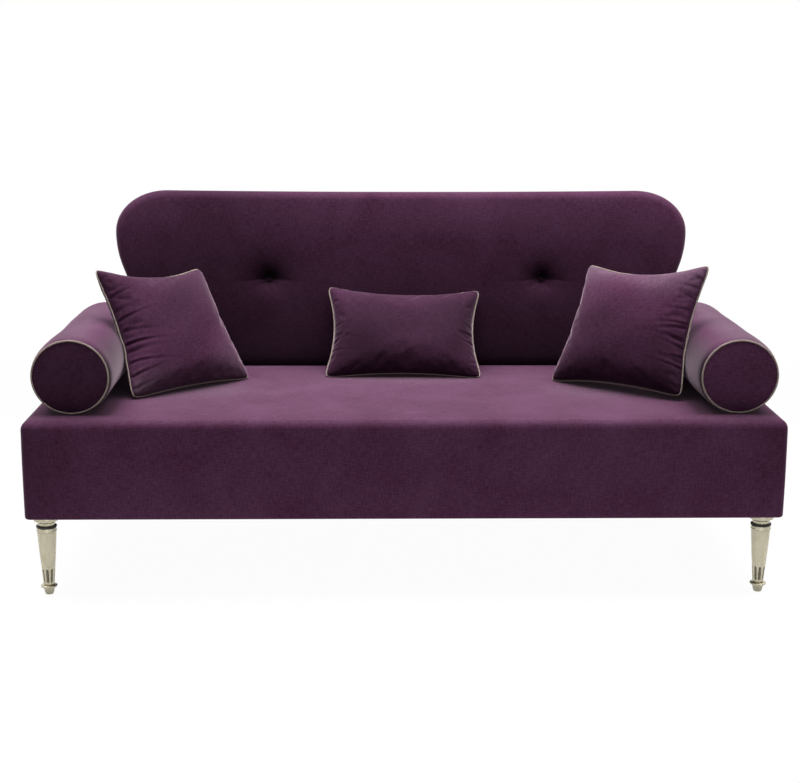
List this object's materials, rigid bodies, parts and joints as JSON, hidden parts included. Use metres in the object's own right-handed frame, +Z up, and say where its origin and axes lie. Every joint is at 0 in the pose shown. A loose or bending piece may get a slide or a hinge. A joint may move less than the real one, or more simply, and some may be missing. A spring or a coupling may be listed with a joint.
{
  "type": "sofa",
  "caption": "Velvet sofa with a slim rounded buttoned back, a boxed seat, piped bolsters for arms, piped loose cushions and fluted tapering metal legs.",
  "frame": {"origin": "on the floor, below the middle of the whole sofa", "axes": "+X along the sofa, to the right of someone who stands in front of it; +Y from the front of the seat to the back; +Z up"},
  "size_m": [1.85, 0.8572, 0.9283],
  "materials": {
    "plum_velvet": "matt short-pile velvet",
    "taupe_piping": "cloth-covered piping cord",
    "beech_board": "planed, unfinished",
    "birch_plywood": "sanded, unfinished",
    "upholstery_foam": "cut foam",
    "polyester_wadding": "loose fibre",
    "woven_lining": "thin woven lining",
    "hessian": "plain weave",
    "rubber_webbing": "elastic webbing",
    "spring_steel": "drawn wire",
    "zinc_plated_steel": "zinc plated",
    "champagne_cast_metal": "satin champagne metallic",
    "black_collar": "moulded, matt black",
    "waxed_twine": "waxed"
  },
  "bodies": {
    "sofa": {"frame_front_rail": "beech_board", "frame_rear_rail": "beech_board", "frame_end_rail_left": "beech_board", "frame_end_rail_right": "beech_board", "frame_cross_rail_left": "beech_board", "frame_cross_rail_right": "beech_board", "seat_springs": "spring_steel", "deck_cloth": "hessian", "seat_foam": "upholstery_foam", "border_wadding": "polyester_wadding", "seat_cover": "plum_velvet", "dust_cloth": "woven_lining", "back_post_left": "beech_board", "back_post_centre": "beech_board", "back_post_right": "beech_board", "back_bolt_plate_left": "zinc_plated_steel", "back_bolt_plate_centre": "zinc_plated_steel", "back_bolt_plate_right": "zinc_plated_steel", "back_board": "birch_plywood", "back_webbing": "rubber_webbing", "back_foam": "upholstery_foam", "back_cover": "plum_velvet", "outside_back": "plum_velvet", "tuft_button_left": "plum_velvet", "tuft_button_right": "plum_velvet", "tuft_twine_left": "waxed_twine", "tuft_twine_right": "waxed_twine", "leg_plate_front_left": "champagne_cast_metal", "leg_ring_front_left": "black_collar", "leg_column_front_left": "champagne_cast_metal", "leg_foot_front_left": "champagne_cast_metal", "leg_plate_front_right": "champagne_cast_metal", "leg_ring_front_right": "black_collar", "leg_column_front_right": "champagne_cast_metal", "leg_foot_front_right": "champagne_cast_metal", "leg_plate_rear_left": "champagne_cast_metal", "leg_ring_rear_left": "black_collar", "leg_column_rear_left": "champagne_cast_metal", "leg_foot_rear_left": "champagne_cast_metal", "leg_plate_rear_right": "champagne_cast_metal", "leg_ring_rear_right": "black_collar", "leg_column_rear_right": "champagne_cast_metal", "leg_foot_rear_right": "champagne_cast_metal"},
    "bolster_left": {"bolster_left_cover": "plum_velvet", "bolster_left_core": "polyester_wadding", "bolster_left_piping_front": "taupe_piping", "bolster_left_piping_rear": "taupe_piping"},
    "bolster_right": {"bolster_right_cover": "plum_velvet", "bolster_right_core": "polyester_wadding", "bolster_right_piping_front": "taupe_piping", "bolster_right_piping_rear": "taupe_piping"},
    "cushion_left": {"cushion_left_cover": "plum_velvet", "cushion_left_filling": "polyester_wadding", "cushion_left_piping": "taupe_piping"},
    "cushion_right": {"cushion_right_cover": "plum_velvet", "cushion_right_filling": "polyester_wadding", "cushion_right_piping": "taupe_piping"},
    "cushion_lumbar": {"cushion_lumbar_cover": "plum_velvet", "cushion_lumbar_filling": "polyester_wadding", "cushion_lumbar_piping": "taupe_piping"}
  },
  "joints": [
    {"name": "bolster_left_lift_off", "type": "slide", "parent": "sofa", "child": "bolster_left", "axis": [-0.94, 0, 0.3412], "range_m": [0, 0.3]},
    {"name": "bolster_right_lift_off", "type": "slide", "parent": "sofa", "child": "bolster_right", "axis": [0.94, 0, 0.3412], "range_m": [0, 0.3]},
    {"name": "cushion_left_lift_off", "type": "slide", "parent": "sofa", "child": "cushion_left", "axis": [0, -0.6, 0.8], "range_m": [0, 0.6]},
    {"name": "cushion_right_lift_off", "type": "slide", "parent": "sofa", "child": "cushion_right", "axis": [0, -0.6, 0.8], "range_m": [0, 0.6]},
    {"name": "cushion_lumbar_lift_off", "type": "slide", "parent": "sofa", "child": "cushion_lumbar", "axis": [0, -0.6, 0.8], "range_m": [0, 0.6]}
  ]
}
